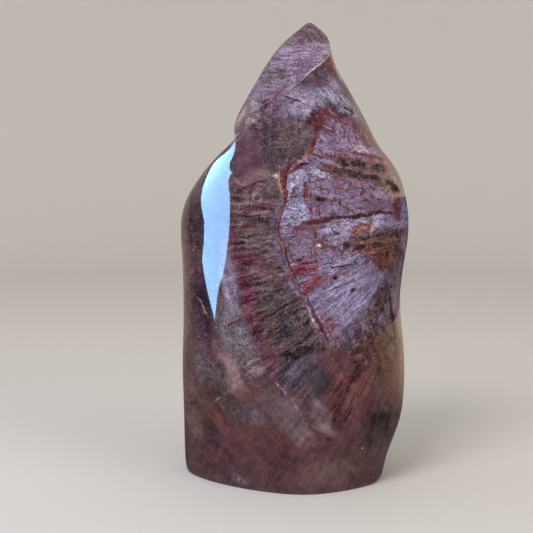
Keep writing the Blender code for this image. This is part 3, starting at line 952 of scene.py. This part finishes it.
class WoodColours:
    """The colours of the stone, laid one over another on a material's shader nodes."""

    def __init__(self, tree):
        self.tree = tree
        self.find_places()
        self.find_figures()
        self.draw_borders()
        self.mark_nodes = mark_group()

    def find_places(self):
        """Places on the stone in millimetres, wandering and fluttering, and places in the log."""
        self.here = stretched(node(self.tree, "TexCoord").outputs["Object"], (1000, 1000, 1000))
        self.depth = node(self.tree, "SeparateXYZ", self.here).outputs[1]
        behind = larger(minus(self.depth, BACK_START), 0.0)
        self.back = rise(self.depth, BACK_START, BACK_FULL)
        leaning = scaled(GRAIN_BEHIND, behind)
        wander = noise_shift(self.here, *WANDER)
        more = scaled(wander, times_plus(behind, WANDER_BEHIND, 1.0))
        flutter = noise_shift(self.here, *FLUTTER)
        place = moved(moved(self.here, leaning), moved(more, flutter))
        self.across, self.deep, self.up = node(self.tree, "SeparateXYZ", place).outputs[:3]
        self.place = joined(self.across, self.deep, self.up)
        from_heart = minus(HEART_ACROSS, self.across)
        over_heart = minus(self.up, HEART_UP)
        ring = root(plus(power(from_heart, 2.0), power(over_heart, 2.0)))
        ray = times(turn_of(over_heart, from_heart), VEIN_RING)
        self.grain_place = joined(ring, self.deep, ray)

    def find_figures(self):
        """The figures that play between a tone's dark and its light, and those that break a mark up."""
        mottle = figure_of(self.place, (0.42, 0.42, 0.42), 4.0, 0.68)
        speck = figure_of(self.here, (1.3, 1.3, 1.3), 2.0, 0.6)
        cloud = figure_of(self.place, (0.08, 0.08, 0.08))
        grain = figure_of(self.grain_place, (0.11, 0.2, 1.5))
        rays = figure_of(self.grain_place, (0.09, 0.2, 0.85), 3.0, 0.6)
        fibre = figure_of(self.grain_place, (0.07, 0.12, 0.75), 3.0, 0.6)
        level = figure_of(self.place, (0.10, 0.2, 1.4))
        self.mottle, self.speck, self.cloud = mottle, speck, cloud
        self.figures = {
            name: times_plus(coarse, share, times(fine, 1 - share))
            for name, coarse, share, fine in (
                ("smooth", cloud, 0.7, grain),
                ("mottled", mottle, 0.6, speck),
                ("grained", grain, 0.65, speck),
                ("rayed", rays, 0.75, speck),
                ("fibrous", fibre, 0.75, speck),
                ("level", level, 0.6, speck),
            )
        }
        self.dots = node(self.tree, "TexVoronoi", self.here, 1.25).outputs[0]
        self.cuts = {
            "torn": rise(grain, 0.3, 0.7),
            "blotched": rise(mottle, 0.3, 0.7),
            "sprinkled": times(rise(self.dots, 0.36, 0.18), rise(mottle, 0.35, 0.65)),
        }
        ragged = times_plus(self.back, BACK_RAGGED, times_plus(mottle, 0.5, -0.25))
        self.flat_place = joined(self.across, ragged, self.up)

    def draw_borders(self):
        self.vein = border(self.up, VEIN, -10, 15)
        self.band = border(self.up, BAND, -30, 35)
        self.heart_top = border(self.across, HEART_TOP, 100, 140)
        self.heart_foot = border(self.across, HEART_FOOT, 50, 90)
        self.ridge_line = border(self.across, RIDGE_LINE, 120, 165)

    def paint(self, name):
        dark, light, figure = TONES[name]
        return mixed(self.figures[figure], colour(dark, DEEPER), colour(light, LIGHTER))

    def lay(self, name, mask, cut=None, strength=1.0):
        """Lays a tone over the colours so far, where its mask lets it."""
        if cut:
            mask = times(mask, self.cuts[cut])
        if strength != 1:
            mask = times(mask, strength)
        self.stone = mixed(mask, self.stone, self.paint(name))

    def lay_mark(self, name, x, z, length, width, tilt, softness, cut=None, strength=1):
        """Lays one mark of the tables above over the colours so far."""
        dark, light, figure = TONES[name]
        turn = radians(tilt)
        along = (cos(turn) / length, 0, sin(turn) / length)
        aside = (-sin(turn) / width, 0, cos(turn) / width)
        touch = 1 + TOUCH * cos(x + 3 * z)
        share = strength
        if cut:
            share = self.cuts[cut] if strength == 1 else times(self.cuts[cut], strength)
        made = node(
            self.tree, "Group", self.stone, self.flat_place, (x, 0, z), along, aside, 1 - softness,
            1 + softness, share, self.figures[figure], colour(dark, DEEPER * touch),
            colour(light, LIGHTER * touch), node_tree=self.mark_nodes,
        )
        self.stone, self.flat_place = made.outputs

    def lay_bands(self):
        """The ground and the bands across the left of the front."""
        up = self.up
        self.stone = mixed(self.cloud, self.paint("maroon"), self.paint("deep maroon"))
        self.lay("rust brown", rise(self.cloud, 0.55, 0.1), "blotched", 0.3)
        right_of_band = rise(minus(self.across, self.band), -0.7, 0.7)
        above_foot, below_top = rise(up, *BAND_FOOT), rise(up, *BAND_TOP)
        above_band = rise(up, *ABOVE_BAND)
        self.lay("olive speckle", times(above_band, rise(minus(up, self.ridge_line), 1, -1)))
        self.lay("olive grain", times(right_of_band, above_foot, below_top))
        self.lay("dark grain", times(right_of_band, above_foot, rise(up, *DARK_BAND_TOP)), None, 0.8)
        for foot, top, reach, cut, strength in MAGENTA_BANDS:
            by_band = rise(minus(self.across, self.band), *reach)
            magenta = times(right_of_band, rise(up, *foot), rise(up, *top), by_band)
            self.lay("magenta grain", magenta, cut, strength)
        self.left_of_vein = minus(self.vein, self.across)
        rim = times(rise(self.left_of_vein, *RIM_REACH), rise(up, *RIM_FOOT), rise(up, *RIM_TOP))
        self.lay("rim lavender", rim)

    def lay_heartwood(self):
        """The pale heartwood, the face above the ridge and the cap of the tip."""
        right_of_vein = rise(minus(self.across, self.vein), -0.4, 0.4)
        below_top = rise(minus(self.heart_top, self.up), -0.6, 0.6)
        above_foot = rise(minus(self.up, self.heart_foot), -1.0, 1.0)
        self.heart = times(right_of_vein, below_top, above_foot)
        self.lay("lavender grain", self.heart)
        self.lay("tip mauve", rise(minus(self.up, self.ridge_line), -0.4, 0.4))
        self.lay("tip cap", rise(self.up, *TIP_CAP))

    def lay_veins(self):
        """The long vein between the bands and the heartwood, with its shadow, and the short ones, among
        them a few painted highlights.
        """
        up, blotched = self.up, self.cuts["blotched"]
        near_vein = size_of(self.left_of_vein)
        vein_span = times(rise(up, *VEIN_FOOT), rise(up, *VEIN_TOP))
        beside_vein = size_of(minus(self.left_of_vein, 1.0))
        self.lay("blackish", times(rise(beside_vein, *SHADOW_REACH), vein_span), "blotched", 0.8)
        upper_vein = rise(up, *UPPER_VEIN)
        thickness = times_plus(upper_vein, 0.5, 0.5)
        in_vein = times(rise(divided(near_vein, thickness), *VEIN_REACH), vein_span)
        self.lay("dark crack", in_vein)
        self.lay("vein red", times(in_vein, larger(upper_vein, blotched)))
        for name, x1, z1, x2, z2, width, *cut in VEINS:
            middle = (x1 + x2) / 2, (z1 + z2) / 2
            half = np.hypot(x2 - x1, z2 - z1) / 2 * VEIN_OVERLAP
            tilt = np.degrees(np.arctan2(z2 - z1, x2 - x1))
            self.lay_mark(name, *middle, half, width, tilt, VEIN_SOFTNESS, *cut)

    def lay_blocks(self):
        """The heartwood's blocks, each with its own shade, and the joints and seams between them."""
        thread = hairline(noisy(stretched(self.place, (0.13, 0.13, 0.13)), 3.0, 0.5), THREAD_WIDTH)
        in_heart = times(self.heart, rise(self.depth, *IN_FRONT))
        bent_grain = moved(self.grain_place, noise_shift(self.here, *BLOCK_BEND))
        block_place = stretched(bent_grain, (0.10, 0.10, 0.25))
        blocks = node(self.tree, "TexVoronoi", block_place, 1.0)
        joints = node(self.tree, "TexVoronoi", block_place, 1.0, feature="DISTANCE_TO_EDGE")
        shade = node(self.tree, "SeparateColor", blocks.outputs["Color"]).outputs[0]
        shade = between(shade, 0.84, 1.28, 0.0, 1.0)
        self.stone = scaled(self.stone, plus(times(minus(shade, 1.0), in_heart), 1.0))
        upper_heart = times_plus(rise(self.up, *UPPER_HEART), 0.7, 0.3)
        joint = times(rise(joints.outputs[0], *JOINT_WIDTH), in_heart, upper_heart)
        self.lay("dark crack", times(joint, rise(self.mottle, 0.15, 0.5)), None, 0.75)
        self.lay("tangle", joint, "blotched", 0.5)
        self.lay("vein red", times(thread, in_heart, upper_heart), "blotched", 0.6)
        seam = hairline(noisy(stretched(self.grain_place, (0.10, 0.1, 0.35)), 3.0), SEAM_WIDTH)
        self.lay("dark crack", times(seam, in_heart, upper_heart), "blotched", 0.8)
        outside = times(seam, minus(1.0, self.heart), rise(self.up, *SEAM_FOOT))
        self.lay("pink line", outside, "blotched", 0.35)

    def lay_grit(self):
        """Grit and drift, calmer at the foot, in the smooth field and in the heartwood."""
        grit = between(noisy(stretched(self.here, (1.9, 1.9, 1.9)), 2.0), 0.50, 1.50)
        drift = between(noisy(stretched(self.place, (0.30, 0.30, 0.30)), 3.0), 0.76, 1.30)
        calm = times_plus(rise(self.up, *GRITTY), 0.75, 0.25)
        off_across = divided(minus(self.across, FIELD_MIDDLE[0]), FIELD_REACH[0])
        off_up = divided(minus(self.up, FIELD_MIDDLE[1]), FIELD_REACH[1])
        field = times_plus(off_up, off_up, times(off_across, off_across))
        calm = times(calm, times_plus(rise(field, 0.7, 1.2), 0.8, 0.2))
        calm = times(calm, times_plus(self.heart, -0.5, 1.0))
        grit = times_plus(minus(grit, 1.0), calm, 1.0)
        down_left = times(minus(self.across, self.up), 0.04)
        down_right = times(plus(self.across, self.up), 0.42)
        flow = between(noisy(joined(down_left, times(self.deep, 0.1), down_right), 3.0), -0.18, 0.18)
        flow = times_plus(flow, rise(self.up, *FLOWING_FOOT), 1.0)
        self.stone = scaled(self.stone, flow)
        self.stone = scaled(self.stone, times(grit, drift))

    def lay_pits(self):
        """The pits, from their brown rims in to their floors, where the stone is rough, with painted glints
        of light on the floors.
        """
        pit = node(self.tree, "Attribute", attribute_name="pit", attribute_type="GEOMETRY")
        away = times_plus(pit.outputs["Fac"], -PIT_REACH, PIT_REACH)
        self.lay("pit brown", times(rise(away, *BROWN_RIM), rise(self.mottle, 0.70, 0.30)), None, 0.9)
        self.lay("rim orange", times(rise(away, *ORANGE_RIM), rise(self.mottle, 0.30, 0.75)), None, 0.9)
        hollowed = rise(times_plus(self.speck, 0.2, away), *PIT_FLOOR)
        self.lay("pit black", hollowed)
        # painted highlights: pale glints of light sprinkled over the dark pit floors
        painted_glints = times(hollowed, rise(self.dots, 0.34, 0.20), rise(self.mottle, 0.30, 0.60))
        self.lay("mottled lavender", painted_glints, None, 0.8)
        return hollowed


def petrified_wood():
    """The polished wood stone: its rings, bands, heartwood, veins and marks."""
    material = bpy.data.materials.new("petrified_wood")
    material.use_nodes = True
    tree = material.node_tree
    wood = WoodColours(tree)
    wood.lay_bands()
    wood.lay_heartwood()
    for mark in MARKS:
        wood.lay_mark(*mark)
    wood.lay_veins()
    wood.lay_blocks()
    wood.lay_grit()
    hollowed = wood.lay_pits()
    shader = tree.nodes["Principled BSDF"]
    tree.links.new(wood.stone, shader.inputs["Base Color"])
    tree.links.new(times_plus(hollowed, PIT_ROUGHNESS, POLISH_ROUGHNESS), shader.inputs["Roughness"])
    shader.inputs["IOR"].default_value = STONE_IOR
    return material


stone = carved_stone()
stone.data.materials.append(petrified_wood())
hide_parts("flame_stone")
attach(stone, "root")

# The photograph's own camera: its place in metres, its pitch in degrees and its lens in millimetres
CAMERA_PLACE = (-0.0108, -0.380, 0.116)
CAMERA_PITCH = -5.6
CAMERA_LENS = 67.7
CAMERA_SENSOR = 36.0
CAMERA_START = 0.01

# The round table top and the wall that it sweeps up into, in metres, and in how many steps they turn
FLAT_FLOOR = 0.75
SWEEP = 0.45
WALL_TOP = 1.6
FLOOR_MIDDLE = 0.001
FLOOR_TURNS = 96
BEND_DEGREES = 6
FLOOR_TONE = (0.66, 0.63, 0.60)
FLOOR_ROUGHNESS = 0.7

# The window that the left flank mirrors: its upright plane, and its corners backwards and upwards in it
WINDOW_PLANE = -0.300
WINDOW_CORNERS = (
    (-0.070, 0.022), (-0.086, 0.036), (-0.106, 0.048), (-0.142, 0.064), (-0.168, 0.079),
    (-0.196, 0.108), (-0.206, 0.150), (-0.196, 0.200), (-0.172, 0.238), (-0.138, 0.272),
    (-0.098, 0.290), (-0.052, 0.304), (-0.036, 0.328), (0.220, 0.326), (0.378, 0.301),
    (0.290, 0.290), (0.190, 0.274), (0.110, 0.245), (0.042, 0.205), (-0.008, 0.166),
    (-0.038, 0.130), (-0.040, 0.100), (-0.030, 0.074), (-0.002, 0.057), (-0.028, 0.040),
    (-0.052, 0.030),
)
WINDOW_SKY = (0.27, 0.57, 1.0)
WINDOW_GLOW = 19.0

# The dark flag that keeps the window off the ridge and the tip
FLAG_PLANE = -0.040
FLAG_CORNERS = (
    (-0.060, 0.1265), (-0.0175, 0.1265), (-0.0138, 0.1280), (-0.0122, 0.1292),
    (-0.0118, 0.1315), (0.060, 0.1315), (0.060, 0.210), (-0.060, 0.210),
)
FLAG_TONE = (0.06, 0.06, 0.07)

# The dark flag beside the heartwood, which keeps the bright room off the right edge there
RIGHT_FLAG_PLANE = 0.047
RIGHT_FLAG_CORNERS = (
    (-0.030, 0.054), (0.000, 0.062), (0.030, 0.067), (0.055, 0.074), (0.090, 0.083),
    (0.250, 0.090), (0.250, 0.100), (0.060, 0.104), (-0.030, 0.107),
)

# What the polish mirrors of the room, and the soft light that the room gives
ROOM_DARK = (0.055, 0.055, 0.065, 1)
ROOM_BEHIND = (0.44, 0.37, 0.29, 1)
ROOM_RIGHT = (1.10, 0.78, 0.44, 1)
ROOM_ABOVE = (0.22, 0.23, 0.25, 1)
ROOM_BELOW = (0.45, 0.43, 0.40, 1)
ROOM_LIGHT = (1.0, 0.98, 0.95, 1)
ROOM_STRENGTH = 0.75
# How far a mirrored way points backwards, to the right, up or down where each part of the room
# starts, and where it is full
BEHIND_FADE = (0.05, 0.80)
RIGHT_FADE_BACKWARDS = (-0.50, 0.55)
RIGHT_FADE = (0.25, 0.80)
ABOVE_FADE = (0.10, 0.95)
BELOW_FADE = (-0.25, -0.95)
# Where the bright wall ends towards the table, so that the stone's lower edges mirror the dark
NOT_DOWN_FADE = (-0.30, -0.12)

# The two soft lamps: place in metres, width in metres and power in watts, and what they shine at
LAMPS = {
    "key": ((-0.55, -0.75, 0.95), 0.7, 9.0),
    "fill": ((0.8, -0.6, 0.5), 0.8, 3.5),
}
LAMP_TARGET = (0, 0, 0.08)


def plain_material(name, tone, roughness):
    material = bpy.data.materials.new(name)
    material.use_nodes = True
    shader = material.node_tree.nodes["Principled BSDF"]
    shader.inputs["Base Color"].default_value = (*tone, 1)
    shader.inputs["Roughness"].default_value = roughness
    return material


def glowing_material(name, tone, strength):
    material = bpy.data.materials.new(name)
    material.use_nodes = True
    tree = material.node_tree
    tree.nodes.clear()
    glow = node(tree, "Emission", (*tone, 1), strength)
    node(tree, "OutputMaterial", glow)
    return material


def place_camera():
    camera = bpy.data.objects.new("camera", bpy.data.cameras.new("camera"))
    bpy.context.scene.collection.objects.link(camera)
    camera.location = CAMERA_PLACE
    camera.rotation_euler = (radians(90 + CAMERA_PITCH), 0, 0)
    camera.data.lens = CAMERA_LENS
    camera.data.sensor_width = CAMERA_SENSOR
    camera.data.clip_start = CAMERA_START
    bpy.context.scene.camera = camera


def stage_piece(name, mesh, material):
    piece = bpy.data.objects.new(name, mesh)
    bpy.context.scene.collection.objects.link(piece)
    mesh.materials.append(material)
    return piece


def turned_sheet(name, profile, steps):
    """A sheet turned round the upright axis from its profile of radius and height, closed at its middle."""
    bm = bmesh.new()
    rings = []
    for radius, height in profile:
        turns = [2 * pi * i / steps for i in range(steps)]
        rings.append([bm.verts.new((radius * cos(t), radius * sin(t), height)) for t in turns])
    for inner, outer in zip(rings, rings[1:]):
        for i in range(steps):
            j = (i + 1) % steps
            bm.faces.new((inner[i], outer[i], outer[j], inner[j]))
    bm.faces.new(rings[0])
    bm.normal_update()
    mesh = bpy.data.meshes.new(name)
    bm.to_mesh(mesh)
    bm.free()
    mesh.shade_smooth()
    return mesh


def lay_floor():
    """The pale table top, which sweeps up into a wall and is mirrored by no gloss."""
    pale = plain_material("pale_floor", FLOOR_TONE, FLOOR_ROUGHNESS)
    bend = [radians(a) for a in range(0, 91, BEND_DEGREES)]
    sweep = [(FLOOR_MIDDLE, 0)] + [(FLAT_FLOOR + SWEEP * sin(a), SWEEP * (1 - cos(a))) for a in bend]
    sweep.append((FLAT_FLOOR + SWEEP, WALL_TOP))
    floor = stage_piece("floor", turned_sheet("floor", sweep, FLOOR_TURNS), pale)
    floor.visible_glossy = False


def mirrored_only(piece):
    piece.visible_camera = piece.visible_diffuse = piece.visible_shadow = False


def upright_sheet(name, plane, corners, material):
    """A flat upright sheet across the view, from its corners backwards and upwards."""
    bm = bmesh.new()
    bm.faces.new([bm.verts.new((plane, y, z)) for y, z in corners])
    mesh = bpy.data.meshes.new(name)
    bm.to_mesh(mesh)
    bm.free()
    mirrored_only(stage_piece(name, mesh, material))


def soft_lamp(name, place, size, power):
    lamp = bpy.data.lights.new(name, "AREA")
    lamp.shape = "DISK"
    lamp.size = size
    lamp.energy = power
    held = bpy.data.objects.new(name, lamp)
    bpy.context.scene.collection.objects.link(held)
    held.location = place
    held.rotation_euler = (Vector(LAMP_TARGET) - Vector(place)).to_track_quat("-Z", "Y").to_euler()
    held.visible_glossy = held.visible_camera = False


def surround():
    """Soft light from all round, which the polish mirrors as dark in front and pale behind and above."""
    world = bpy.data.worlds.new("studio")
    bpy.context.scene.world = world
    world.use_nodes = True
    tree = world.node_tree
    tree.nodes.clear()
    way = node(tree, "TexCoord").outputs["Generated"]
    rightwards, backwards, upwards = node(tree, "SeparateXYZ", way).outputs[:3]
    not_down = rise(upwards, *NOT_DOWN_FADE)
    behind = times(rise(backwards, *BEHIND_FADE), not_down)
    right = times(rise(backwards, *RIGHT_FADE_BACKWARDS), rise(rightwards, *RIGHT_FADE), not_down)
    above = rise(upwards, *ABOVE_FADE)
    below = rise(upwards, *BELOW_FADE)
    seen = mixed(behind, ROOM_DARK, ROOM_BEHIND)
    seen = mixed(right, seen, ROOM_RIGHT)
    seen = mixed(above, seen, ROOM_ABOVE)
    seen = mixed(below, seen, ROOM_BELOW)
    mirrored = node(tree, "Background", seen)
    soft = node(tree, "Background", ROOM_LIGHT, ROOM_STRENGTH)
    gloss = node(tree, "LightPath").outputs["Is Glossy Ray"]
    either = node(tree, "MixShader", gloss, soft.outputs[0], mirrored.outputs[0])
    node(tree, "OutputWorld", either.outputs[0])


bpy.context.scene.view_settings.view_transform = "Standard"
place_camera()
lay_floor()
daylight = glowing_material("daylight", WINDOW_SKY, WINDOW_GLOW)
upright_sheet("window", WINDOW_PLANE, WINDOW_CORNERS, daylight)
flag_cloth = glowing_material("flag_cloth", FLAG_TONE, 1)
upright_sheet("flag", FLAG_PLANE, FLAG_CORNERS, flag_cloth)
upright_sheet("right_flag", RIGHT_FLAG_PLANE, RIGHT_FLAG_CORNERS, flag_cloth)
surround()
for lamp_name, lamp in LAMPS.items():
    soft_lamp(lamp_name, *lamp)
